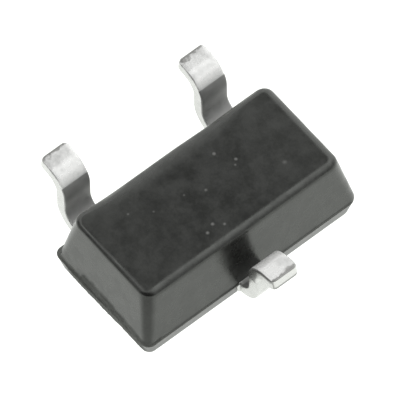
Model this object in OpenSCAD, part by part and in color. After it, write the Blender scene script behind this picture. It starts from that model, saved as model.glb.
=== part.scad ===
// Three-lead surface-mount PIN diode in millimetres, lying on its marking face with its solder feet up.
// X runs along the body, Y across it towards the side with two leads, and Z up.
// The origin is on the resting face, under the middle of the lead frame.

/* [Moulded body] */
// Length at the parting line
body_l = 2.91; // [2.7:0.01:3.1]
// Width of the thick half at the parting line
body_w = 1.52; // [1.4:0.01:1.7]
// Height over both halves
body_h = 1.02; // [0.95:0.01:1.15]
// Height of the parting line above the marking face
part_z = 0.255; // [0.22:0.005:0.32]
// Draft of the thick half's walls in degrees
draft_thick = 10; // [5:0.5:12]
// Draft of the thin half's walls in degrees
draft_thin = 12; // [5:0.5:15]
// Radius of the upright corners
corner_r = 0.10; // [0.08:0.01:0.14]
// Radius of the edge round the board-side face
board_edge_r = 0.095; // [0.04:0.005:0.1]
// Radius of the edge round the marking face
marking_edge_r = 0.05; // [0.03:0.005:0.08]
// Step at the parting line, where the thin half is wider on each long side
lip_w = 0.025; // [0.01:0.005:0.04]
// Mismatch of the thin half against the thick half along X
half_shift_x = -0.02; // [-0.04:0.005:0.04]
// Mismatch of the thin half against the thick half along Y
half_shift_y = 0.01; // [-0.02:0.005:0.02]
// Place of the moulding's middle across the lead frame
body_shift_y = -0.048; // [-0.06:0.004:0.06]

/* [Leads outside the body] */
// Width of a lead
lead_w = 0.36; // [0.3:0.01:0.5]
// Thickness of the lead frame
lead_t = 0.15; // [0.1:0.01:0.18]
// Distance between the two leads on one side
lead_pitch = 1.9; // [1.7:0.05:2.0]
// Place of the lone lead along X
lone_lead_x = -0.015; // [-0.03:0.005:0.03]
// Distance from tip to tip across the part
tip_span = 2.78; // [2.6:0.02:3.0]
// Distance between the risers' body-facing sides
riser_gap = 1.96; // [1.92:0.01:2.04]
// Inner radius of the bend next to the body
shoulder_r = 0.19; // [0.1:0.01:0.19]
// Inner radius of the bend at the foot
heel_r = 0.17; // [0.08:0.01:0.2]
// Upward slope of the feet towards their tips in degrees
foot_tilt = 12; // [2:1:16]
// Height of the foot tips over the body's board-side face
stand_off = 0.005; // [0.005:0.005:0.1]
// Radius of the tips' corners
tip_corner_r = 0.04; // [0.02:0.01:0.08]

/* [Lead frame inside the body] */
// Length of the die paddle along X
paddle_l = 0.90; // [0.7:0.02:1.0]
// Width of the die paddle along Y
paddle_w = 0.70; // [0.6:0.02:0.76]
// Distance from the paddle's front edge to the body's front wall
paddle_margin = 0.28; // [0.24:0.02:0.3]
// Length of a bonding post along X
post_l = 0.56; // [0.44:0.02:0.6]
// Width of a bonding post along Y
post_w = 0.42; // [0.3:0.02:0.5]
// Distance from a post's edge to the body's rear wall
post_margin = 0.26; // [0.2:0.02:0.3]
// Corner radius of the paddle and the posts
frame_corner_r = 0.06; // [0.03:0.01:0.1]
// Radius of the locking notch in each side of a neck
notch_r = 0.05; // [0.03:0.01:0.06]

/* [Chip and wire] */
// Side of the square chip
chip_side = 0.36; // [0.25:0.01:0.45]
// Thickness of the chip
chip_t = 0.15; // [0.1:0.01:0.2]
// Thickness of the die attach
attach_t = 0.02; // [0.01:0.005:0.03]
// Width of the die attach seen round the chip
attach_rim = 0.03; // [0.01:0.005:0.05]
// Diameter of the anode contact
contact_d = 0.14; // [0.12:0.01:0.2]
// Thickness of the anode contact
contact_t = 0.01; // [0.01:0.005:0.02]
// Diameter of the bond wire
wire_d = 0.025; // [0.018:0.001:0.03]
// Diameter of the ball bond
ball_d = 0.08; // [0.06:0.005:0.1]
// Thickness of the ball bond
ball_t = 0.024; // [0.015:0.001:0.03]
// Straight rise of the wire over the ball
wire_rise = 0.08; // [0.05:0.01:0.12]
// Radius of the wire's bend over the chip
wire_bend_r = 0.07; // [0.05:0.01:0.1]
// Diameter of the flattened stitch on the post
stitch_d = 0.07; // [0.05:0.01:0.1]
// Thickness of the stitch
stitch_t = 0.013; // [0.008:0.001:0.02]

/* [Hidden] */

// Faces round a curve, and round each corner inside a hull
$fn = 48;
hull_fn = 32;
// Height of the upright land on each half at the parting line
land = 0.004;

// Insets of the walls where the edge curves start
thick_h = body_h - part_z - board_edge_r;
thick_inset = thick_h * tan(draft_thick) + board_edge_r / cos(draft_thick) - board_edge_r;
thin_h = part_z - marking_edge_r;
thin_inset = thin_h * tan(draft_thin) + marking_edge_r / cos(draft_thin) - marking_edge_r;
thin_w = body_w + 2 * lip_w;
wall_rear_y = body_shift_y + body_w / 2;
wall_front_y = body_shift_y - body_w / 2;

// Places of the lead's side profile, measured out from the lead frame's middle
tip_y = tip_span / 2;
riser_y = riser_gap / 2;
foot_top_z = body_h + stand_off;
frame_z = part_z - lead_t;
heel_y = riser_y + lead_t + heel_r;
heel_outer_r = heel_r + lead_t;
foot_l = (tip_y - heel_y + heel_outer_r * sin(foot_tilt)) / cos(foot_tilt);
heel_z = foot_top_z - foot_l * sin(foot_tilt) - heel_outer_r * cos(foot_tilt);
shoulder_y = riser_y - shoulder_r;
shoulder_z = part_z + shoulder_r;

// Places of the lead frame's inner ends
paddle_y0 = wall_front_y + paddle_margin;
paddle_mid_y = paddle_y0 + paddle_w / 2;
post_y1 = wall_rear_y - post_margin;
post_mid_y = post_y1 - post_w / 2;
post_x = lead_pitch / 2 + lead_w / 2 - post_l / 2;

// Stack on the paddle
chip_z = part_z + attach_t;
contact_z = chip_z + chip_t;
ball_z = contact_z + contact_t;

// Wire loop in its own upright plane: it rises, bends over and runs down to the stitch
wire_dx = -post_x;
wire_dy = post_mid_y - paddle_mid_y;
wire_reach = norm([wire_dx, wire_dy]);
wire_turn = atan2(wire_dy, wire_dx);
bend_z = ball_z + ball_t + wire_rise;
stitch_drop = bend_z - (part_z + wire_d / 2);
run_span = norm([wire_reach - wire_bend_r, stitch_drop]);
run_slope = atan2(stitch_drop, wire_reach - wire_bend_r) + asin(wire_bend_r / run_span);
bend_sweep = 90 + run_slope;
bend_steps = 8;
wire_sides = 12;

// Stations of the wire as [distance out, height, heading above level]
wire_route = [
    [0, ball_z + ball_t / 2, 90],
    for (i = [0 : bend_steps]) let (turned = bend_sweep * i / bend_steps)
        [wire_bend_r * (1 - cos(turned)), bend_z + wire_bend_r * sin(turned), 90 - turned],
    [wire_reach, part_z + wire_d / 2, -run_slope]
];

// Disc of radius r whose top edge is rounded by f
module rounded_disc(r, f) {
    rotate_extrude($fn = hull_fn) {
        square([r - f, f]);
        intersection() {
            translate([r - f, 0]) circle(f, $fn = hull_fn);
            square([r, f]);
        }
    }
}

// Puts its children at the four corners of a rectangle
module at_corners(l, w) {
    for (sx = [-1, 1], sy = [-1, 1])
        translate([sx * l / 2, sy * w / 2, 0]) children();
}

// One drafted half of the moulding, its parting plane at z = 0 and its rounded face up
module half_body(l, w, h, inset, edge_r) {
    hull() {
        at_corners(l - 2 * corner_r, w - 2 * corner_r)
            cylinder(r = corner_r, h = land, $fn = hull_fn);
        translate([0, 0, h])
            at_corners(l - 2 * (corner_r + inset), w - 2 * (corner_r + inset))
                rounded_disc(corner_r, edge_r);
    }
}

// Rectangle in plan with round corners, centred
module rounded_plan(l, w, r) {
    square([l, w - 2 * r], center = true);
    square([l - 2 * r, w], center = true);
    at_corners(l - 2 * r, w - 2 * r) circle(r);
}

// Band of a bent lead between two angles round the origin, less than 180 degrees apart
module bent_band(r, from, to) {
    reach = 3 * (r + lead_t);
    middle = (from + to) / 2;
    intersection() {
        difference() {
            circle(r + lead_t);
            circle(r);
        }
        polygon([[0, 0], for (a = [from, middle, to]) reach * [cos(a), sin(a)]]);
    }
}

// Side profile of a lead in the Y-Z plane, from inside the body to the end of the heel
module lead_profile(inner_y) {
    translate([inner_y, frame_z]) square([shoulder_y - inner_y, lead_t]);
    translate([shoulder_y, shoulder_z]) bent_band(shoulder_r, -90, 0);
    translate([riser_y, shoulder_z]) square([lead_t, heel_z - shoulder_z]);
    translate([heel_y, heel_z]) bent_band(heel_r, 90 + foot_tilt, 180);
}

// Flat of the foot in plan, with its tip's corners rounded
module foot_plan() {
    translate([-lead_w / 2, 0]) square([lead_w, foot_l - tip_corner_r]);
    translate([tip_corner_r - lead_w / 2, 0]) square([lead_w - 2 * tip_corner_r, foot_l]);
    for (side = [-1, 1])
        translate([side * (lead_w / 2 - tip_corner_r), foot_l - tip_corner_r]) circle(tip_corner_r);
}

// One gull-wing lead that runs out towards +Y, with half-round locking notches inside the wall
module gull_wing(inner_y, notch_y) {
    difference() {
        rotate([90, 0, 90]) linear_extrude(lead_w, center = true) lead_profile(inner_y);
        for (side = [-1, 1])
            translate([side * lead_w / 2, notch_y, frame_z - lead_t])
                cylinder(r = notch_r, h = 3 * lead_t);
    }
    translate([0, heel_y, heel_z]) rotate([foot_tilt, 0, 0])
        translate([0, 0, heel_r]) linear_extrude(lead_t) foot_plan();
}

// Lead with a bonding post, on the rear side; side is -1 for the left one and 1 for the right one
module post_lead(side) {
    notch_y = wall_rear_y - post_margin / 2;
    translate([side * lead_pitch / 2, 0, 0]) gull_wing(post_mid_y, notch_y);
    translate([side * post_x, post_mid_y, frame_z])
        linear_extrude(lead_t) rounded_plan(post_l, post_w, frame_corner_r);
}

module anode_lead_form() {
    post_lead(-1);
}

module spare_lead_form() {
    post_lead(1);
}

module cathode_lead_form() {
    notch_y = paddle_margin / 2 - wall_front_y - paddle_margin;
    translate([lone_lead_x, 0, 0]) rotate([0, 0, 180]) gull_wing(-paddle_mid_y, notch_y);
    translate([lone_lead_x, paddle_mid_y, frame_z])
        linear_extrude(lead_t) rounded_plan(paddle_l, paddle_w, frame_corner_r);
}

module attach_form() {
    side = chip_side + 2 * attach_rim;
    translate([0, paddle_mid_y, part_z])
        linear_extrude(attach_t) rounded_plan(side, side, attach_rim);
}

module chip_form() {
    translate([-chip_side / 2, paddle_mid_y - chip_side / 2, chip_z])
        cube([chip_side, chip_side, chip_t]);
}

module contact_form() {
    translate([0, paddle_mid_y, contact_z]) cylinder(d = contact_d, h = contact_t);
}

// Round tube along stations that lie in one upright plane, each ring square to its heading
module upright_tube(route, d, sides) {
    rings = len(route);
    points = [for (s = route, k = [0 : sides - 1]) let (a = 360 * k / sides, out = d / 2 * cos(a))
        [s[0] - out * sin(s[2]), d / 2 * sin(a), s[1] + out * cos(s[2])]];
    skin = [for (i = [0 : rings - 2], k = [0 : sides - 1]) let (n = (k + 1) % sides)
        [i * sides + k, i * sides + n, (i + 1) * sides + n, (i + 1) * sides + k]];
    start_cap = [for (k = [sides - 1 : -1 : 0]) k];
    end_cap = [for (k = [0 : sides - 1]) (rings - 1) * sides + k];
    polyhedron(points, concat([start_cap], skin, [end_cap]));
}

// Ball pressed flat on the contact, with a round rim
module ball_bond() {
    rotate_extrude() {
        square([(ball_d - ball_t) / 2, ball_t]);
        translate([(ball_d - ball_t) / 2, ball_t / 2]) intersection() {
            circle(d = ball_t);
            translate([0, -ball_t / 2]) square([ball_t, ball_t]);
        }
    }
}

module wire_form() {
    translate([0, paddle_mid_y, 0]) rotate([0, 0, wire_turn]) {
        translate([0, 0, ball_z]) ball_bond();
        upright_tube(wire_route, wire_d, wire_sides);
        translate([wire_reach, 0, part_z]) cylinder(d = stitch_d, h = stitch_t);
    }
}

module lead_anode() {
    color([0.80, 0.80, 0.78]) anode_lead_form();
}

module lead_spare() {
    color([0.80, 0.80, 0.78]) spare_lead_form();
}

module lead_cathode() {
    color([0.80, 0.80, 0.78]) cathode_lead_form();
}

module die_attach() {
    color([0.62, 0.62, 0.60]) attach_form();
}

module diode_chip() {
    color([0.30, 0.32, 0.36]) chip_form();
}

module anode_contact() {
    color([0.86, 0.86, 0.88]) contact_form();
}

module bond_wire() {
    color([0.90, 0.72, 0.30]) wire_form();
}

// The moulding is filled round everything it holds, so what it holds is cut out of it
module moulded_body() {
    color([0.17, 0.17, 0.17]) difference() {
        translate([0, body_shift_y, part_z]) {
            half_body(body_l, body_w, thick_h, thick_inset, board_edge_r);
            translate([half_shift_x, half_shift_y, 0]) mirror([0, 0, 1])
                half_body(body_l, thin_w, thin_h, thin_inset, marking_edge_r);
        }
        anode_lead_form();
        spare_lead_form();
        cathode_lead_form();
        attach_form();
        chip_form();
        contact_form();
        wire_form();
    }
}

moulded_body();
lead_anode();
lead_spare();
lead_cathode();
die_attach();
diode_chip();
anode_contact();
bond_wire();
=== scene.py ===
# Looks of the three-lead PIN diode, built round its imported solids.
# Sizes are in millimetres until a mesh is made, and angles are in radians.
import math

import bpy
import numpy as np
from mathutils import Matrix, Vector, noise


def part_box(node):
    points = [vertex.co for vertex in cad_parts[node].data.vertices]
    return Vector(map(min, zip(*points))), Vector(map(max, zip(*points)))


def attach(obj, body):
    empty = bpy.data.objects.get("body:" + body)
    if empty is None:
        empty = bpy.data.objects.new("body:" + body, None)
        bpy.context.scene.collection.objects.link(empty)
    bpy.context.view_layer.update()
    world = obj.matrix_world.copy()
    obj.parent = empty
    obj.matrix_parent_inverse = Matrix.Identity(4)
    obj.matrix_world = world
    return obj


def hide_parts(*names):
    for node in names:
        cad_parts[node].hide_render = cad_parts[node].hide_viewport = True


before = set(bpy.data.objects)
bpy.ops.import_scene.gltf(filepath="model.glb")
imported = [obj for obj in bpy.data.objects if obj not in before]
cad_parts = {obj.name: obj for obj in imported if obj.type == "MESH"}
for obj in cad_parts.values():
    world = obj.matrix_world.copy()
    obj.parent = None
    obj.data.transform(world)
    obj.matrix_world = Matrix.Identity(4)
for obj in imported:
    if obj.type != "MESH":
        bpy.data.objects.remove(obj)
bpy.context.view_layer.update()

MM = 0.001
QUARTER_TURN = math.pi / 2


def box_mm(node):
    """Lowest and highest corner of a CAD node, in millimetres."""
    low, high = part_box(node)
    return np.array(low) / MM, np.array(high) / MM


# Sizes read from the frame
body_low, body_high = box_mm("moulded_body")
rear_low, rear_high = box_mm("lead_anode")
spare_low, spare_high = box_mm("lead_spare")
front_low, front_high = box_mm("lead_cathode")
body_h = body_high[2]
frame_z = rear_low[2]
foot_top_z = rear_high[2]
post_mid_x = (spare_low[0] + spare_high[0]) / 2
post_l = spare_high[0] - spare_low[0]
post_front_y = rear_low[1]
paddle_l = front_high[0] - front_low[0]
paddle_mid_x = (front_low[0] + front_high[0]) / 2
paddle_rear_y = front_high[1]

# Lead frame
lead_w = 0.36
lead_t = 0.15
riser_y = 0.98
shoulder_r = 0.19
heel_r = 0.17
foot_tilt = math.radians(12)
tip_corner_r = 0.06
frame_corner_r = 0.06
post_w = 0.42
paddle_w = 0.70
notch_r = 0.05
post_margin = 0.26
paddle_margin = 0.28
edge_round = 0.018

# Stub of the cut dam bar, on the right edge of the lone lead
stub_w = 0.024
stub_l = 0.09
stub_y = 0.748
stub_ramp = 0.015
stub_least_out = 0.004
stub_margin = 0.01

# Bends of the leads, worked out from the sizes above
part_z = frame_z + lead_t
lead_x = spare_high[0] - lead_w / 2
heel_y = riser_y + lead_t + heel_r
heel_outer_r = heel_r + lead_t
tip_y = rear_high[1] - lead_t * math.sin(foot_tilt)
foot_l = (tip_y - heel_y + heel_outer_r * math.sin(foot_tilt)) / math.cos(foot_tilt)
heel_z = foot_top_z - foot_l * math.sin(foot_tilt) - heel_outer_r * math.cos(foot_tilt)
shoulder_y = riser_y - shoulder_r
shoulder_z = part_z + shoulder_r

# Moulding
corner_r = 0.10
board_edge_r = 0.11
marking_edge_r = 0.05
draft_thick = math.radians(10)
draft_thin = math.radians(12)
half_shift_x = -0.02
half_shift_y = 0.01
lip_w = 0.025
thick_h = body_h - part_z
body_l = body_high[0] - body_low[0] + half_shift_x
thin_w = body_high[1] - body_low[1]
body_w = thin_w - 2 * lip_w
body_mid_x = body_high[0] - body_l / 2
body_mid_y = body_high[1] - thin_w / 2 - half_shift_y
left_end_x = body_mid_x - body_l / 2
right_end_x = body_mid_x + body_l / 2
front_wall_y = body_mid_y - body_w / 2
rear_wall_y = body_mid_y + body_w / 2

# How this one moulding departs from the plain form. A fade is (where it starts or ends, length), and
# a noise is (scale, share of a finer noise, scale of the finer one).
swell = 0.010
top_corner_extra = 0.045
left_edge_r = 0.052
left_edge_reach = 0.34
rear_edge_reach = 0.60
edge_blend = 0.3
lip_fall = 0.007
seam_lift = 0.0005
least_z = 0.002
lean_left = 0.014
lean_rear = 0.016
lean_right = 0.009
lean_reach = 0.4
lean_rear_fade_out = (0.6, 0.6)
thin_turn = 0.010
thin_turn_fade_out = (0.2, 0.7)
lump_on_face = 0.0012
lump_on_wall = 0.0004
lump_noise = (3.1, 0.4, 9.0)

# Board-side face: it rises slightly from the front, then falls to the rear edge, less so at both ends
crown_rise = 0.012
crown_reach = 0.26
crown_slope = math.radians(17)
crown_left_share = 0.1
crown_right_share = 0.4
crown_left_fade = (-1.38, 0.75)
crown_right_fade = (0.6, 0.5)
rise_fade_out = (1.2, 0.5)

# Torn strip that the gate left on the left end, over the parting line. Its top has waves of (height,
# scale, offset), and it stands out by (mean, jag) on each half.
gate_rear_y = 0.33
gate_l = 1.12
gate_high_h = 0.115
gate_low_h = 0.03
gate_fall_power = 2.2
gate_step = 0.05
gate_border = 0.012
gate_zone = 0.2
gate_waves = ((0.010, 12.0, 0), (0.006, 30.0, 5))
torn_thick_out = (0.008, 0.008)
torn_thin_out = (0.004, 0.007)
torn_thin_front_fade = (0.04, 0.06)
torn_thin_rear_fade = (0.12, 0.16)
torn_thin_low_fade = (0.02, 0.03)
jag_noise = (22.0, 0.6, 48.0)

# Finish of the moulding, told from where its surface faces: matte, polish, and painted sheen, which is
# painted light and a painted reflection of the leads
face_nz = 0.9
wall_nz = 0.5
upright_fade = (0.12, 0.35)
upright_tilt_fade = (-0.5, 0.15)
rear_edge_fade = (0.35, 0.2)
rear_edge_nz = 0.3
rear_edge_matte = 0.6
matte_at_seam = 0.6
polish_angle = math.radians(7)
polish_fade_l = 0.012
wall_polish = 0.6
# Painted sheen: a painted reflection of the leads on the rear edge behind them, and painted light on the
# parting step, the walls and the face's ends and rear
sheen_behind_lead_fade = (0.45, 0.2)
behind_lead_fade_out = (0.375, 0.25)
sheen_zone_h = 1.1 * board_edge_r
spare_sheen = 0.8
seam_sheen = 0.55
wall_sheen = 0.05
right_sheen = 0.07
right_sheen_fade = (0.3, 0.9)
left_sheen = 0.05
left_sheen_fade_out = (-0.2, 0.9)
rear_sheen = 0.06
rear_sheen_fade = (rear_wall_y - board_edge_r - crown_reach, 0.2)

# Finish of the leads: the zones of their edges and end faces, how far the sheared edge shows at a
# tip's left and right, and the heading where the sole ends
edge_zone = 0.8 * edge_round
end_zone = 1.05 * edge_round
sheared_reach = (0.12, 0.05)
turned_reach = (0.10, 0.045)
sole_heading = math.radians(59)
sole_fade_l = math.radians(2)

# Painted light on the crests of the leads' bends, as fades of the heading
crest_boost = 1.45
heel_crest_fade = (0.45, 0.35)
shoulder_crest = 0.6
shoulder_crest_fade_out = (1.1, 0.4)
turned_heel_crest_fade = (foot_tilt + 0.05, 0.35)
turned_shoulder_crest_fade_out = (0.50, 0.15)

# Shade of the leads: end faces, the lone lead's right side, upper sides and soles
end_shade = 0.9
end_low_fade = (0.030, 0.018)
end_right_fade = (-0.035, 0.02)
side_shade_drop = 0.05
side_shade_turn = 0.080
side_shade_turn_fade = (0.5, 0.6)
side_shade_fade = (0.012, 0.040)
upper_shade = 0.45
inner_shade_fade_out = (1.0, 0.5)
riser_shade_fade = (-0.14, 0.14)
sole_light = 0.6

# Camera, as the angles that set the photograph's view
cam_azimuth = math.radians(-37.88)
cam_elevation = math.radians(60.06)
cam_roll = math.radians(-1.62)
cam_target = Vector((0.05, 0.134, 0.5)) * MM
cam_distance = 200 * MM
cam_lens = 1675.7


def ease(value):
    """Smooth step from 0 to 1."""
    t = min(1.0, max(0.0, value))
    return t * t * (3 - 2 * t)


def fade(value, start, length):
    """Smooth step that leaves 0 at the start and reaches 1 a length further on."""
    return ease((value - start) / length)


def fade_out(value, end, length):
    """Smooth step that leaves 1 a length before the end and reaches 0 there."""
    return ease((end - value) / length)


def ramp(values, start, length):
    """Straight rise of an array from 0 at the start to 1 a length further on."""
    return np.clip((values - start) / length, 0.0, 1.0)


def mesh_piece(name, points, faces, material, node):
    """Makes a smooth mesh from points in millimetres, riding on the body and standing for a CAD node."""
    mesh = bpy.data.meshes.new(name)
    mesh.from_pydata([tuple(p) for p in np.asarray(points) * MM], [], faces)
    mesh.validate()
    mesh.shade_smooth()
    piece = bpy.data.objects.new(name, mesh)
    bpy.context.scene.collection.objects.link(piece)
    mesh.materials.append(material)
    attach(piece, "root")
    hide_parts(node)
    return piece


def vertex_rows(mesh, what):
    """Coordinates or normals of a mesh's vertices, one row for each."""
    values = np.zeros(len(mesh.vertices) * 3)
    mesh.vertices.foreach_get(what, values)
    return values.reshape(-1, 3)


def set_marks(mesh, marks):
    """Keeps named values on the vertices, which the materials turn into tones."""
    for name, values in marks.items():
        mesh.attributes.new(name, "FLOAT", "POINT").data.foreach_set("value", values)


def skin(rows, count):
    """Quads that join closed rings of points, and one face across each end."""
    faces = []
    for i in range(rows - 1):
        a, b = i * count, (i + 1) * count
        for k in range(count):
            n = (k + 1) % count
            faces.append((a + k, a + n, b + n, b + k))
    faces.append(tuple(range(count - 1, -1, -1)))
    faces.append(tuple((rows - 1) * count + k for k in range(count)))
    return faces


# Moulded body: rings of a rounded rectangle from the marking face up to the board-side face
ALONG, ACROSS, CORNER = 110, 72, 12
THICK_WALL_ROWS, THIN_WALL_ROWS, EDGE_ROWS = 26, 6, 14
# A ring's sides, as (x sign and y sign of the corner after it, its heading in degrees, points along it)
SIDES = ((1, 1, 0, ACROSS), (-1, 1, 90, ALONG), (-1, -1, 180, ACROSS), (1, -1, 270, ALONG))
face_insets = (
    0.006, 0.016, 0.03, 0.05, 0.07, 0.09, 0.12, 0.15,
    0.18, 0.22, 0.26, 0.31, 0.37, 0.43, 0.5, 0.56,
)
row_crowding = 1.7
least_face = 0.06
face_rounding = 0.2
most_rounding = 0.9


def ring(mid_x, mid_y, half_l, half_w, r, z):
    """Rounded rectangle in plan, anticlockwise from the front end of its right side."""
    straight_l, straight_w = half_l + swell - r, half_w + swell - r

    def on_corner(sx, sy, angle):
        return np.array([sx * straight_l + r * math.cos(angle), sy * straight_w + r * math.sin(angle)])

    points = []
    for sx, sy, start, count in SIDES:
        angle = math.radians(start)
        side_end = on_corner(sx, sy, angle)
        back = np.array([math.sin(angle), -math.cos(angle)])
        length = 2 * (straight_w if count == ACROSS else straight_l)
        points += [side_end + back * length * (1 - i / count) for i in range(count)]
        points += [on_corner(sx, sy, angle + QUARTER_TURN * i / CORNER) for i in range(CORNER)]
    return np.array([(mid_x + x, mid_y + y, z) for x, y in points])


def half_rings(length, width, height, draft, edge_r, wall_rows):
    """Rings of a drafted half as (half length, half width, corner radius, height from the parting line)."""
    wall_h = height - edge_r
    inset = wall_h * math.tan(draft) + edge_r / math.cos(draft)
    core_l, core_w, core_r = length / 2 - inset, width / 2 - inset, corner_r - edge_r

    def edge(angle):
        out = edge_r * math.cos(angle)
        return core_l + out, core_w + out, core_r + out, wall_h + edge_r * math.sin(angle)

    foot = (length / 2, width / 2, corner_r, 0.0)
    rings = []
    for i in range(wall_rows + 1):
        t = (i / wall_rows) ** row_crowding
        rings.append(tuple(low + (high - low) * t for low, high in zip(foot, edge(draft))))
    for i in range(1, EDGE_ROWS + 1):
        rings.append(edge(draft + (QUARTER_TURN - draft) * i / EDGE_ROWS))
    flat_l, flat_w, flat_r, flat_z = rings[-1]
    for inward in face_insets:
        if inward < flat_w - least_face:
            rings.append((flat_l - inward, flat_w - inward, flat_r + face_rounding * inward, flat_z))
    return rings


def thin_rings():
    """The thin half, from the marking face up to the parting line."""
    mid_x, mid_y = body_mid_x + half_shift_x, body_mid_y + half_shift_y
    outlines = half_rings(body_l, thin_w, part_z, draft_thin, marking_edge_r, THIN_WALL_ROWS)
    rings = []
    for half_l, half_w, r, h in outlines:
        rings.append(ring(mid_x, mid_y, half_l, half_w, r, part_z - max(h, lip_fall)))
    return rings[::-1]


def thick_rings(edge_r):
    """The thick half, from the parting line up to the board-side face."""
    outlines = half_rings(body_l, body_w, thick_h, draft_thick, edge_r, THICK_WALL_ROWS)
    rings = []
    for half_l, half_w, r, h in outlines:
        r = min(r + top_corner_extra * h / thick_h, most_rounding * half_w)
        lift = seam_lift if h == 0 else 0.0
        rings.append(ring(body_mid_x, body_mid_y, half_l, half_w, r, part_z + h + lift))
    return rings


def left_share(x, y):
    """How far a point belongs to the tighter edge at the left end, which runs on further along the rear."""
    reach = left_edge_reach + (rear_edge_reach - left_edge_reach) * fade(y, body_mid_y, edge_blend)
    return ease(1 - (x - left_end_x) / reach)


def body_rings():
    """Rings of both halves, and how many of them belong to the thin one."""
    rings = thin_rings()
    seam = len(rings)
    for broad, tight in zip(thick_rings(board_edge_r), thick_rings(left_edge_r)):
        share = np.array([[left_share(x, y)] for x, y, z in broad])
        rings.append(broad * (1 - share) + tight * share)
    return rings, seam


def crown_drop(x, y, z):
    """How far the board-side face falls towards its rear edge, behind a slight rise, as the resin shrank."""
    if z <= part_z:
        return 0.0
    half_w = body_w / 2 - (thick_h - board_edge_r) * math.tan(draft_thick)
    from_front = y - body_mid_y + half_w
    reach = crown_reach * (1 - (1 - crown_right_share) * fade(x, *crown_right_fade))
    into = max(0.0, reach - max(0.0, 2 * half_w - from_front))
    slope = math.tan(crown_slope) * (crown_left_share + (1 - crown_left_share) * fade(x, *crown_left_fade))
    rise = crown_rise * min(1.0, max(0.0, from_front / (2 * half_w - reach))) * fade_out(x, *rise_fade_out)
    return (into * into * slope / (2 * reach) - rise) * (z - part_z) / thick_h


def shift_of_half(x, y, z):
    """How far a point moves in plan: the thick half leans out at its ends and rear, the thin one turns."""
    left = fade_out(x, left_end_x + lean_reach, lean_reach)
    if z <= part_z:
        return thin_turn * left * fade_out(y, *thin_turn_fade_out), 0.0
    share = min(1.0, (z - part_z) / thick_h)
    right = fade(x, right_end_x - lean_reach, lean_reach)
    rear = fade(y, rear_wall_y - lean_reach, lean_reach) * fade_out(x, *lean_rear_fade_out)
    return share * (lean_right * right - lean_left * left), lean_rear * share * rear


def torn_share(x, y, z):
    """How far a point of the left end lies in the rough strip where the gate broke off."""
    if x > left_end_x + gate_zone:
        return 0.0
    if z < part_z + seam_lift / 2:
        from_front = fade(y - front_wall_y, *torn_thin_front_fade)
        from_rear = fade(rear_wall_y - y, *torn_thin_rear_fade)
        return from_front * from_rear * fade(z, *torn_thin_low_fade)
    along = (gate_rear_y - y) / gate_l
    fall = min(1.0, max(0.0, along)) ** gate_fall_power
    top = part_z + gate_low_h + (gate_high_h - gate_low_h) * (1 - fall) * fade(along, 0.0, gate_step)
    for height, scale, offset in gate_waves:
        top += height * noise.noise(Vector((0, y, offset)) * scale)
    return ease((top - z) / gate_border + 0.5)


def rough_noise(points, scale, finer_share, finer_scale):
    """Noise at each point, with a share of a finer noise added."""
    places = [Vector(p) for p in points]
    return np.array([noise.noise(p * scale) + finer_share * noise.noise(p * finer_scale) for p in places])


def as_moulded(co, nor):
    """Moves points from the plain form to this moulding's, and says how torn each one is."""
    torn = np.array([torn_share(*p) for p in co])
    lump = rough_noise(co, *lump_noise) * np.where(nor[:, 2] > face_nz, lump_on_face, lump_on_wall)
    jag = rough_noise(co, *jag_noise)
    co = co + nor * lump[:, None]
    shift = np.array([shift_of_half(*p) for p in co])
    thick_out, thin_out = [mean + rough * jag for mean, rough in (torn_thick_out, torn_thin_out)]
    co[:, 0] -= torn * np.where(co[:, 2] > part_z, thick_out, thin_out)
    co[:, :2] += shift
    co[:, 2] = np.maximum(co[:, 2] - [crown_drop(*p) for p in co], least_z)
    return co, torn


def matte_share(nor, thick, share, torn):
    """How matte the moulding is: its uprights at the front left, and its rear edge."""
    nx, ny, nz = nor.T
    upright = ramp(-np.maximum(nx, ny), *upright_fade) * ramp(-nz, *upright_tilt_fade) * thick * (1 - torn)
    rear_edge = ramp(ny, *rear_edge_fade) * (nz > rear_edge_nz) * (share > 0.5)
    return upright + rear_edge_matte * rear_edge


def polish_share(nor, thick, wall, matte):
    """How polished the moulding is: most where it is rounded, and a little less on its walls."""
    out, up = math.cos(draft_thick), math.sin(draft_thick)
    flats = np.array([(0, 0, 1), (out, 0, up), (-out, 0, up), (0, out, up), (0, -out, up)])
    rounded = ramp(-(nor @ flats.T).max(axis=1), -math.cos(polish_angle), polish_fade_l) * thick
    return np.maximum(rounded, wall_polish * wall) * (1 - matte)


def behind_lead(x, mid_x):
    """How far a place along the rear edge lies behind a lead."""
    return fade_out(abs(x - mid_x), *behind_lead_fade_out)


def sheen_share(co, nor, thick, wall, matte):
    """How much painted sheen the moulding gets: a painted reflection of both leads on the edge behind them,
    and painted light at the face's ends and rear and on the walls.
    """
    x, y, z = co.T
    # Painted reflection of the leads on the rear edge behind them
    behind = np.array([max(behind_lead(a, -lead_x), spare_sheen * behind_lead(a, lead_x)) for a in x])
    painted_sheen = ramp(nor[:, 1], *sheen_behind_lead_fade) * (z > body_h - sheen_zone_h) * behind
    face_sheen = np.array([right_sheen * fade(a, *right_sheen_fade) for a in x])
    face_sheen += [left_sheen * fade_out(a, *left_sheen_fade_out) for a in x]
    face_sheen += [rear_sheen * fade(b, *rear_sheen_fade) for b in y]
    return painted_sheen + (wall_sheen * wall * (1 - matte) + (nor[:, 2] > face_nz) * thick * face_sheen)


def body_marks(co, nor, torn, row, seam):
    """Marks of the moulding: torn, matte, rim (polished) and painted sheen, which the parting line has too
    as painted light on its step.
    """
    thick = co[:, 2] > part_z
    wall = (nor[:, 2] < wall_nz) & thick
    share = (co[:, 2] - part_z) / thick_h
    matte = matte_share(nor, thick, share, torn)
    rim = polish_share(nor, thick, wall, matte)
    painted_sheen = sheen_share(co, nor, thick, wall, matte)
    # Painted light on the two rings of the parting step
    painted_sheen = np.where((row == seam - 1) | (row == seam), seam_sheen, painted_sheen)
    matte = matte * (matte_at_seam + (1 - matte_at_seam) * share)
    return {"torn": torn, "matte": matte, "rim": rim, "painted_sheen": painted_sheen}


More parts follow.
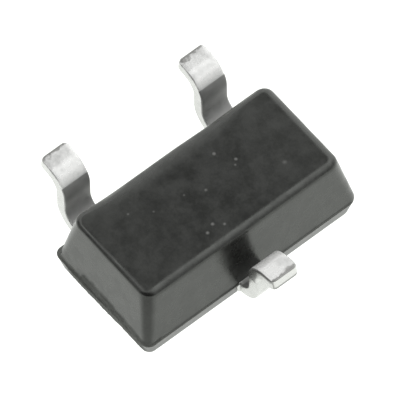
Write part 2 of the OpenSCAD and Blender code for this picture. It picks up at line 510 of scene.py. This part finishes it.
def body_piece(material):
    """The moulding: its rings joined to a mesh, moved to this one's form and marked for its finish."""
    rings, seam = body_rings()
    count = len(rings[0])
    faces = skin(len(rings), count)
    piece = mesh_piece("moulding", np.concatenate(rings), faces, material, "moulded_body")
    mesh = piece.data
    co, torn = as_moulded(vertex_rows(mesh, "co") / MM, vertex_rows(mesh, "normal"))
    mesh.vertices.foreach_set("co", (co * MM).ravel())
    mesh.update()
    row = np.arange(len(co)) // count
    set_marks(mesh, body_marks(co, vertex_rows(mesh, "normal"), torn, row, seam))
    for edge in mesh.edges:
        a, b = edge.vertices
        edge.use_edge_sharp = a // count == b // count == seam
    return piece


# Leads: the flat stamped blank, lofted in rows and bent along its centre line
FLAT, SIDE, ROUND = 8, 8, 4
ARC_STEPS, WALL_ROWS, BEND_ROWS, TIP_ROWS = 8, 8, 110, 6
closing_sizes = (0.92, 0.8, 0.6, 0.3)
row_gap = 0.002
notch_gap = 0.01
stub_first_rows = (0.003, 0.008, 0.014)
stub_last_rows = (0.012, 0.007, 0.002)
shoulder_mid_r = shoulder_r + lead_t / 2
heel_mid_r = heel_r + lead_t / 2


def stretches(inner_y):
    """Lengths of the centre line's inner straight, shoulder, riser and heel."""
    heel = heel_mid_r * (QUARTER_TURN - foot_tilt)
    return shoulder_y - inner_y, shoulder_mid_r * QUARTER_TURN, heel_z - shoulder_z, heel


def bend_at(u, inner_y):
    """Place and heading of the lead's centre line at a distance u from its inner end."""
    inner, shoulder, riser, heel = stretches(inner_y)
    if u <= inner:
        return inner_y + u, frame_z + lead_t / 2, 0.0
    u -= inner
    if u <= shoulder:
        h = u / shoulder_mid_r
        return shoulder_y + shoulder_mid_r * math.sin(h), shoulder_z - shoulder_mid_r * math.cos(h), h
    u -= shoulder
    if u <= riser:
        return shoulder_y + shoulder_mid_r, shoulder_z + u, QUARTER_TURN
    u -= riser
    if u <= heel:
        h = QUARTER_TURN - u / heel_mid_r
        return heel_y - heel_mid_r * math.sin(h), heel_z + heel_mid_r * math.cos(h), h
    u -= heel
    h = foot_tilt
    y = heel_y - heel_mid_r * math.sin(h) + u * math.cos(h)
    return y, heel_z + heel_mid_r * math.cos(h) + u * math.sin(h), h


def corner_out(gap, r):
    """How far a round corner of radius r has come out at a distance gap from its end."""
    return r - math.sqrt(max(0.0, r * r - max(0.0, r - gap) ** 2))


def blank_rows(inner_y, pad_w, pad_x0, pad_x1, neck_x0, neck_x1, notch_y):
    """Rows of the flat blank as (u, left edge, right edge), from the inner end to the tip."""
    rows = []
    steps = [i / ARC_STEPS for i in range(ARC_STEPS + 1)]
    for s in steps:
        gap = frame_corner_r * (1 - math.cos(s * QUARTER_TURN))
        inset = corner_out(gap, frame_corner_r)
        rows.append((gap, pad_x0 + inset, pad_x1 - inset))
    for s in reversed(steps):
        gap = frame_corner_r * (1 - math.cos(s * QUARTER_TURN))
        inset = corner_out(gap, frame_corner_r)
        x0 = pad_x0 if pad_x0 == neck_x0 else pad_x0 + inset
        x1 = pad_x1 if pad_x1 == neck_x1 else pad_x1 - inset
        rows.append((pad_w - gap, x0, x1))
    rows.append((pad_w + row_gap, neck_x0, neck_x1))
    notch_u = notch_y - inner_y
    for s in steps:
        bite = notch_r * math.sin(math.pi * s)
        rows.append((notch_u - notch_r * math.cos(math.pi * s), neck_x0 + bite, neck_x1 - bite))
    end = sum(stretches(inner_y)) + foot_l
    wall_u = shoulder_y - inner_y
    for u in np.linspace(notch_u + notch_r + notch_gap, wall_u, WALL_ROWS):
        rows.append((u, neck_x0, neck_x1))
    for u in np.linspace(wall_u, end - tip_corner_r, BEND_ROWS)[1:]:
        rows.append((u, neck_x0, neck_x1))
    for i in range(1, TIP_ROWS + 1):
        rows.append((end - tip_corner_r + (tip_corner_r - edge_round) * i / TIP_ROWS, neck_x0, neck_x1))
    for i in range(1, TIP_ROWS + 1):
        rows.append((end - edge_round * (1 - math.sin(i / TIP_ROWS * QUARTER_TURN)), neck_x0, neck_x1))
    return rows, end


def with_stub(rows, inner_y, neck_x0, neck_x1):
    """Rows of the blank with the stub of the dam bar on their right edge, and more rows on its ramps."""
    first, last = stub_y - inner_y, stub_y - inner_y + stub_l

    def out(u):
        return stub_w * fade(u, first, stub_ramp) * fade_out(u, last, stub_ramp)

    more = [first + step for step in stub_first_rows] + [last - step for step in stub_last_rows]
    rows = [(u, x0, x1 + out(u)) for u, x0, x1 in rows]
    return sorted(rows + [(u, neck_x0, neck_x1 + out(u)) for u in more])


def section(u, end, x0, x1):
    """Cross-section of the blank at u as (across, through) points, its edges rounded and its tip closed."""
    e, t = edge_round, lead_t / 2
    reach = max(0.0, end - u)
    psi_max = QUARTER_TURN if reach >= e else math.acos(1 - reach / e)
    half, mid = (x1 - x0) / 2, (x1 + x0) / 2

    def out(psi):
        inset = e * (1 - math.cos(psi))
        past = u - (end - tip_corner_r)
        if past <= 0:
            return half - inset, t - e + e * math.sin(psi)
        r = tip_corner_r - inset
        w = half - tip_corner_r + math.sqrt(max(0.0, r * r - past * past))
        return w, t - e + e * math.sin(psi)

    quarter = [out(psi_max * k / ROUND) for k in range(ROUND + 1)]
    side_w, side_n = quarter[0]
    top_w, top_n = quarter[-1]
    points = [(side_w, side_n * (2 * i / SIDE - 1)) for i in range(SIDE)]
    points += quarter[:-1]
    points += [(top_w * (1 - 2 * i / FLAT), top_n) for i in range(FLAT)]
    points += [(-w, n) for w, n in reversed(quarter[1:])]
    points += [(-side_w, side_n * (1 - 2 * i / SIDE)) for i in range(SIDE)]
    points += [(-w, -n) for w, n in quarter[:-1]]
    points += [(-top_w * (1 - 2 * i / FLAT), -top_n) for i in range(FLAT)]
    points += [(w, -n) for w, n in reversed(quarter[1:])]
    return [(mid + x, n) for x, n in points]


def crest_light(h, above_heel, sole, turned):
    """How much painted light the upper side gets, where the lead bends."""
    if turned and above_heel:
        return fade(h, *turned_heel_crest_fade)
    if turned:
        return fade_out(h, *turned_shoulder_crest_fade_out)
    if above_heel:
        return sole * fade(h, *heel_crest_fade)
    return shoulder_crest * fade_out(h, *shoulder_crest_fade_out)


def lead_marks(x, n, u, x0, x1, z, h, whole, turned, end, on_stub):
    """Marks of one point of a lead: sheared, sole, inward, painted light (crests, end faces, the stub's
    sides) and painted shade.
    """
    above_heel = z > heel_z
    on_top = whole and n > lead_t / 2 - edge_zone
    at_end = end - u < end_zone and not on_top
    on_right_side = x > x1 - edge_zone
    wide, narrow = turned_reach if turned else sheared_reach
    reach = wide + (narrow - wide) * (x - x0) / (x1 - x0)
    sheared = max(0.0, 1 - (end - u) / reach) if on_top else 0.0
    sole = ease((sole_heading - h) / sole_fade_l + 0.5) if on_top and above_heel else 0.0
    inward = 1 - sole if on_top else 0.0

    # Painted light: on crests of bends, on end faces and on the stub's sides
    crest = crest_light(h, above_heel, sole, turned) if on_top else float(on_stub)
    painted_light = 1.0 if at_end else crest * (crest_boost if above_heel else 1.0)

    shade = 0.0
    if on_stub:
        shade = end_shade * on_top
    elif at_end:
        shade = end_shade * max(fade(-n, *end_low_fade), fade(x - x1, *end_right_fade))
    elif turned and on_right_side and z > heel_z - side_shade_drop:
        shade = fade(n + side_shade_turn * fade(h, *side_shade_turn_fade), *side_shade_fade)
    elif on_top and above_heel:
        lit = 0.0 if turned else sole_light * fade(h, *heel_crest_fade)
        shade = upper_shade * (1 - sole) - lit * sole
    elif on_top:
        inner = fade_out(h, *inner_shade_fade_out) * (1 - crest)
        shade = upper_shade * max(inner, fade(z - heel_z, *riser_shade_fade))
    return {"sheared": sheared, "sole": sole, "inward": inward, "painted_light": painted_light, "shade": shade}


def lead_piece(name, node, material, turned, inner_y, pad_w, pad_l, pad_mid_x, neck_mid_x, notch_y):
    """A lead towards +Y, or the same turned half round, from its pad inside the body to its tip."""
    neck_x0, neck_x1 = neck_mid_x - lead_w / 2, neck_mid_x + lead_w / 2
    pad_x0, pad_x1 = pad_mid_x - pad_l / 2, pad_mid_x + pad_l / 2
    pad_x0 = neck_x0 if math.isclose(pad_x0, neck_x0, abs_tol=1e-4) else pad_x0
    pad_x1 = neck_x1 if math.isclose(pad_x1, neck_x1, abs_tol=1e-4) else pad_x1
    rows, end = blank_rows(inner_y, pad_w, pad_x0, pad_x1, neck_x0, neck_x1, notch_y)
    if turned:
        rows = with_stub(rows, inner_y, neck_x0, neck_x1)
    rows = [(*row, 1.0) for row in rows]
    rows += [(end, *rows[-1][1:3], size) for size in closing_sizes]

    points, marks = [], []
    for u, x0, x1, size in rows:
        y, z, h = bend_at(u, inner_y)
        mid_x = (x0 + x1) / 2
        cross = [(mid_x + (x - mid_x) * size, n * size) for x, n in section(u, end, x0, x1)]
        for x, n in cross:
            points.append((x, y - n * math.sin(h), z + n * math.cos(h)))
            on_stub = x > neck_x1 + stub_least_out and u > stub_y - inner_y - stub_margin
            marks.append(lead_marks(x, n, u, x0, x1, z, h, size == 1, turned, end, on_stub))
    points = np.array(points)
    if turned:
        points[:, :2] *= -1

    count = len(cross)
    faces = [tuple(reversed(face)) for face in skin(len(rows), count)]
    piece = mesh_piece(name, points, faces, material, node)
    for face in piece.data.polygons[(len(rows) - len(closing_sizes) - 1) * count:]:
        face.use_smooth = False
    set_marks(piece.data, {mark: [point[mark] for point in marks] for mark in marks[0]})
    return piece


# Materials: colours are linear, grain sizes in millimetres and reliefs in micrometres
epoxy_dark, epoxy_light = (0.0025, 0.0026, 0.0022), (0.0165, 0.0166, 0.0157)
# Pale tone of resin bared at the torn gate, also used for the painted sheen's light and reflection
epoxy_bared_and_sheen = (0.036, 0.037, 0.034)
filler_pale = (0.16, 0.16, 0.155)
tin_dark, tin_light = (0.450, 0.453, 0.444), (0.666, 0.670, 0.658)
# Tone of painted light on crests of bends, end faces and the stub's sides
tin_painted_lit = (0.64, 0.643, 0.63)
tin_shaded = (0.20, 0.20, 0.195)
tin_sheared = (0.25, 0.25, 0.24)


def new_material(name):
    """A material with one surface shader, with its node tree."""
    material = bpy.data.materials.new(name)
    material.use_nodes = True
    tree = material.node_tree
    tree.nodes.clear()
    out = tree.nodes.new("ShaderNodeOutputMaterial")
    shader = tree.nodes.new("ShaderNodeBsdfPrincipled")
    tree.links.new(shader.outputs["BSDF"], out.inputs["Surface"])
    return material, tree, shader


def add(tree, kind, **settings):
    """A new node of a kind, with its settings."""
    node = tree.nodes.new(kind)
    for key, value in settings.items():
        setattr(node, key, value)
    return node


def attribute(tree, name):
    """A mark that a mesh keeps on its vertices."""
    return add(tree, "ShaderNodeAttribute", attribute_name=name).outputs["Fac"]


def combine(tree, operation, a, b):
    """Works out one value from two, each a number or an output."""
    node = add(tree, "ShaderNodeMath", operation=operation)
    for socket, value in zip(node.inputs, (a, b)):
        if isinstance(value, (int, float)):
            socket.default_value = value
        else:
            tree.links.new(value, socket)
    return node.outputs[0]


def times(tree, a, b):
    return combine(tree, "MULTIPLY", a, b)


def plus(tree, a, b):
    return combine(tree, "ADD", a, b)


def minus(tree, a, b):
    return combine(tree, "SUBTRACT", a, b)


def place(tree):
    """Position on the part in millimetres, for textures."""
    coords = add(tree, "ShaderNodeTexCoord")
    scaled = add(tree, "ShaderNodeVectorMath", operation="MULTIPLY")
    scaled.inputs[1].default_value = (1 / MM, 1 / MM, 1 / MM)
    tree.links.new(coords.outputs["Object"], scaled.inputs[0])
    return scaled.outputs[0]


def grain(tree, where, size, detail=3.0, rough=0.55, seed=0.0):
    """Noise whose patches are about size millimetres across."""
    node = add(tree, "ShaderNodeTexNoise", noise_dimensions="4D")
    for socket, value in (("W", seed), ("Scale", 1 / size), ("Detail", detail), ("Roughness", rough)):
        node.inputs[socket].default_value = value
    tree.links.new(where, node.inputs["Vector"])
    return node.outputs["Fac"]


def spread(tree, value, low, high, to_low=0.0, to_high=1.0, shape="LINEAR"):
    """Maps a value from one range to another, held at its ends."""
    node = add(tree, "ShaderNodeMapRange", interpolation_type=shape)
    for socket, number in zip(("From Min", "From Max", "To Min", "To Max"), (low, high, to_low, to_high)):
        node.inputs[socket].default_value = number
    tree.links.new(value, node.inputs["Value"])
    return node.outputs["Result"]


def mix(tree, factor, a, b, clamp=True):
    """Goes from a to b, each a colour or an output, and past b where the factor isn't clamped."""
    node = add(tree, "ShaderNodeMix", data_type="RGBA", clamp_factor=clamp)
    tree.links.new(factor, node.inputs["Factor"])
    for socket, value in (("A", a), ("B", b)):
        if isinstance(value, tuple):
            node.inputs[socket].default_value = (*value, 1)
        else:
            tree.links.new(value, node.inputs[socket])
    return node.outputs["Result"]


def relief(tree, shader, height, depth):
    """Bump of depth micrometres from a height of 0 to 1."""
    node = add(tree, "ShaderNodeBump")
    node.inputs["Strength"].default_value = 1.0
    node.inputs["Distance"].default_value = depth * 1e-6
    tree.links.new(height, node.inputs["Height"])
    tree.links.new(node.outputs["Normal"], shader.inputs["Normal"])


# Pale filler grains that show on the board-side face, as (x, y, radius, strength)
pale_grains = [
    (0.34, 0.24, 0.012, 1.0), (0.48, 0.04, 0.012, 1.0), (0.86, -0.32, 0.016, 0.5),
    (-0.01, -0.05, 0.010, 0.7), (-0.23, 0.05, 0.009, 0.5), (-0.84, 0.25, 0.009, 0.6),
    (-0.61, 0.10, 0.009, 0.5), (-0.22, -0.42, 0.013, 0.9), (-0.12, -0.50, 0.011, 0.8),
    (-0.33, -0.47, 0.012, 1.0), (0.43, -0.01, 0.009, 0.6),
]
cell_size = 0.17
cells_without_grain = 0.90
cell_grain_fade = (0.05, 0.11)
listed_grain_fade = (0.2, 2.1)


def filler_grains(tree, where):
    """Strength of the pale filler grains: a few scattered at random all over, and those of the list."""
    cells = add(tree, "ShaderNodeTexVoronoi", feature="F1")
    cells.inputs["Scale"].default_value = 1 / cell_size
    tree.links.new(where, cells.inputs["Vector"])
    split = add(tree, "ShaderNodeSeparateColor")
    tree.links.new(cells.outputs["Color"], split.inputs[0])
    chosen = spread(tree, split.outputs[0], cells_without_grain, cells_without_grain + 0.01)
    speck = times(tree, chosen, spread(tree, cells.outputs["Distance"], *cell_grain_fade, 1.0, 0.0))
    plan = add(tree, "ShaderNodeVectorMath", operation="MULTIPLY")
    plan.inputs[1].default_value = (1, 1, 0)
    tree.links.new(where, plan.inputs[0])
    full, gone = listed_grain_fade
    for x, y, r, strength in pale_grains:
        away = add(tree, "ShaderNodeVectorMath", operation="DISTANCE")
        away.inputs[1].default_value = (x, y, 0)
        tree.links.new(plan.outputs[0], away.inputs[0])
        spot = spread(tree, away.outputs["Value"], full * r, gone * r, strength, 0.0)
        speck = combine(tree, "MAXIMUM", speck, spot)
    return speck


def epoxy_material():
    """Black moulding compound: fine spark-eroded grain, faint blotches, a few pale filler grains, and a
    painted sheen of light and reflection.
    """
    material, tree, shader = new_material("dark_epoxy")
    where = place(tree)
    blotch = grain(tree, where, 0.16, detail=4.0)
    fine = grain(tree, where, 0.035, detail=2.0, seed=3.0)
    torn, painted_sheen = attribute(tree, "torn"), attribute(tree, "painted_sheen")
    rim, matte = attribute(tree, "rim"), attribute(tree, "matte")

    mottle = plus(tree, times(tree, blotch, 0.6), times(tree, fine, 0.4))
    ground = mix(tree, spread(tree, mottle, 0.40, 0.60), epoxy_dark, epoxy_light)
    speckled = mix(tree, filler_grains(tree, where), ground, filler_pale)
    # Torn resin shows bared; the painted sheen paints light and the leads' reflection in the same pale tone
    bared_and_sheen = plus(tree, torn, times(tree, painted_sheen, 3.0))
    tree.links.new(mix(tree, bared_and_sheen, speckled, epoxy_bared_and_sheen, clamp=False), shader.inputs["Base Color"])

    smooth = spread(tree, blotch, 0.3, 0.7, 0.30, 0.37)
    polish = spread(tree, grain(tree, where, 0.18, detail=2.0, seed=11.0), 0.42, 0.58, 0.0, 0.16)
    smooth = minus(tree, smooth, times(tree, rim, polish))
    dull = plus(tree, times(tree, torn, 0.45), times(tree, matte, 0.30))
    tree.links.new(plus(tree, smooth, dull), shader.inputs["Roughness"])
    shader.inputs["IOR"].default_value = 1.62
    shader.inputs["Specular Tint"].default_value = (0.965, 1.0, 0.95, 1)
    relief(tree, shader, plus(tree, times(tree, blotch, 1.6), fine), 0.9)
    return material


def tin_material():
    """Matte tin plating: soft blotches, fine grain, painted light on crests and end faces, painted shade,
    and a darker sheared edge at the tip.
    """
    material, tree, shader = new_material("matte_tin")
    where = place(tree)
    blotch = grain(tree, where, 0.12, detail=4.0, rough=0.6, seed=1.0)
    fine = grain(tree, where, 0.03, detail=2.0, seed=5.0)
    sole, inward = attribute(tree, "sole"), attribute(tree, "inward")
    painted_light, shade = attribute(tree, "painted_light"), attribute(tree, "shade")

    cloud = times(tree, minus(tree, blotch, 0.5), spread(tree, sole, 0.0, 1.0, 0.5, 1.2))
    cloud = plus(tree, cloud, times(tree, sole, 0.12))
    plated = mix(tree, spread(tree, cloud, -0.15, 0.15), tin_dark, tin_light)
    # Painted light on crests, end faces and the stub's sides, then painted shade
    painted_lit = mix(tree, painted_light, plated, tin_painted_lit, clamp=False)
    shaded = mix(tree, shade, painted_lit, tin_shaded, clamp=False)
    wander = spread(tree, grain(tree, where, 0.05, seed=8.0), 0.3, 0.7, -0.35, 0.35)
    cut = spread(tree, plus(tree, attribute(tree, "sheared"), wander), 0.35, 0.65, 0.0, 0.9)
    tree.links.new(mix(tree, cut, shaded, tin_sheared), shader.inputs["Base Color"])

    metal = minus(tree, spread(tree, sole, 0.0, 1.0, 0.8, 0.42), times(tree, inward, 0.15))
    metal = minus(tree, metal, spread(tree, painted_light, 1.0, 1.6, 0.0, 0.38))
    tree.links.new(metal, shader.inputs["Metallic"])
    satin = spread(tree, blotch, 0.3, 0.7, 0.22, 0.30)
    tree.links.new(plus(tree, satin, times(tree, inward, 0.38)), shader.inputs["Roughness"])
    relief(tree, shader, plus(tree, times(tree, blotch, 2.0), times(tree, fine, 0.6)), 1.0)
    return material


def inner_material(name, dark, light, size, roughness, metallic, depth):
    """Finish of a piece inside the moulding: two close tones in small grains, with their relief."""
    material, tree, shader = new_material(name)
    grains = grain(tree, place(tree), size)
    tree.links.new(mix(tree, spread(tree, grains, 0.35, 0.65), dark, light), shader.inputs["Base Color"])
    satin = spread(tree, grains, 0.3, 0.7, roughness - 0.06, roughness + 0.06)
    tree.links.new(satin, shader.inputs["Roughness"])
    shader.inputs["Metallic"].default_value = metallic
    relief(tree, shader, grains, depth)
    return material


# Finishes inside the moulding, as (name, dark, light, grain size, roughness, metallic, relief)
inner_finishes = {
    "die_attach": ("silver_filled_attach", (0.42, 0.42, 0.41), (0.62, 0.62, 0.60), 0.012, 0.5, 0.8, 1.0),
    "diode_chip": ("silicon", (0.075, 0.080, 0.090), (0.105, 0.110, 0.125), 0.05, 0.22, 0.6, 0.1),
    "anode_contact": ("aluminium_contact", (0.74, 0.75, 0.77), (0.84, 0.85, 0.87), 0.01, 0.3, 1.0, 0.2),
    "bond_wire": ("gold_wire", (0.78, 0.55, 0.20), (0.88, 0.66, 0.28), 0.02, 0.25, 1.0, 0.1),
}

epoxy = epoxy_material()
tin = tin_material()
for node_name, finish in inner_finishes.items():
    cad_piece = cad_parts[node_name]
    cad_piece.data.materials.clear()
    cad_piece.data.materials.append(inner_material(*finish))

body_piece(epoxy)
for lead_name, node_name, side in (("anode_lead", "lead_anode", -1), ("spare_lead", "lead_spare", 1)):
    lead_piece(lead_name, node_name, tin, False, post_front_y, post_w, post_l,
               side * post_mid_x, side * lead_x, rear_wall_y - post_margin / 2)
lead_piece("cathode_lead", "lead_cathode", tin, True, -paddle_rear_y, paddle_w, paddle_l,
           -paddle_mid_x, -paddle_mid_x, -front_wall_y - paddle_margin / 2)

# Floor: wide and pale, and lit from itself so that it stays white under the part
floor_half = 1500 * MM
floor_corners = [(sx * floor_half, sy * floor_half, 0) for sx, sy in ((-1, -1), (1, -1), (1, 1), (-1, 1))]
floor_mesh = bpy.data.meshes.new("floor")
floor_mesh.from_pydata(floor_corners, [], [(0, 1, 2, 3)])
floor = bpy.data.objects.new("floor", floor_mesh)
bpy.context.scene.collection.objects.link(floor)
floor_material, _, floor_shader = new_material("floor")
floor_shader.inputs["Base Color"].default_value = (0.12, 0.12, 0.12, 1)
floor_shader.inputs["Roughness"].default_value = 0.9
floor_shader.inputs["Specular IOR Level"].default_value = 0.0
floor_shader.inputs["Emission Color"].default_value = (0.98, 1.0, 0.965, 1)
floor_shader.inputs["Emission Strength"].default_value = 1.26
floor_mesh.materials.append(floor_material)


def towards(azimuth, elevation):
    """Direction from its angles in degrees, turned from +X."""
    a, e = math.radians(azimuth), math.radians(elevation)
    return math.cos(e) * math.cos(a), math.cos(e) * math.sin(a), math.sin(e)


def dim_patch(tree, azimuth, elevation, inner, outer, keep):
    """Share of the light left near a direction: keep within the inner angle, all of it past the outer."""
    coords = add(tree, "ShaderNodeTexCoord")
    closeness = add(tree, "ShaderNodeVectorMath", operation="DOT_PRODUCT")
    closeness.inputs[1].default_value = towards(azimuth, elevation)
    tree.links.new(coords.outputs["Generated"], closeness.inputs[0])
    far, near = math.cos(math.radians(outer)), math.cos(math.radians(inner))
    return spread(tree, closeness.outputs["Value"], far, near, 1.0, keep, shape="SMOOTHSTEP")


# Light tent, white all round but for a small dark opening overhead and dimmer patches low down.
# Each patch is (azimuth, elevation, inner angle, outer angle, share of light kept), in degrees.
tent_light = 2.15
dim_patches = [
    (68, 77, 12, 22, 0.12),
    (49, 57, 8, 17, 0.12),
    (222, 12, 38, 82, 0.04),
    (320, -2, 15, 50, 0.25),
    (89, 3, 27, 71, 0.60),
    (142, 18, 27, 42, 0.42),
    (27, 26, 8, 28, 0.78),
]
world = bpy.data.worlds.new("light_tent")
bpy.context.scene.world = world
world.use_nodes = True
tent = world.node_tree
light = tent_light
for patch in dim_patches:
    light = times(tent, dim_patch(tent, *patch), light)
tent.nodes["Background"].inputs["Color"].default_value = (1, 1, 1, 1)
tent.links.new(light, tent.nodes["Background"].inputs["Strength"])

# Camera: far off with a long lens, as the photograph shows almost no perspective
back = Vector((
    math.sin(cam_azimuth) * math.cos(cam_elevation),
    -math.cos(cam_azimuth) * math.cos(cam_elevation),
    math.sin(cam_elevation),
))
level = Vector((math.cos(cam_azimuth), math.sin(cam_azimuth), 0))
right = level * math.cos(cam_roll) + back.cross(level) * math.sin(cam_roll)
camera_data = bpy.data.cameras.new("camera")
camera_data.lens = cam_lens
camera_data.sensor_width = 36
camera_data.clip_start = cam_distance * 0.1
camera_data.clip_end = cam_distance * 100
camera = bpy.data.objects.new("camera", camera_data)
bpy.context.scene.collection.objects.link(camera)
camera.rotation_mode = "QUATERNION"
camera.rotation_quaternion = Matrix((right, back.cross(right), back)).transposed().to_quaternion()
camera.location = cam_target + back * cam_distance
bpy.context.scene.camera = camera
bpy.context.scene.view_settings.view_transform = "Standard"
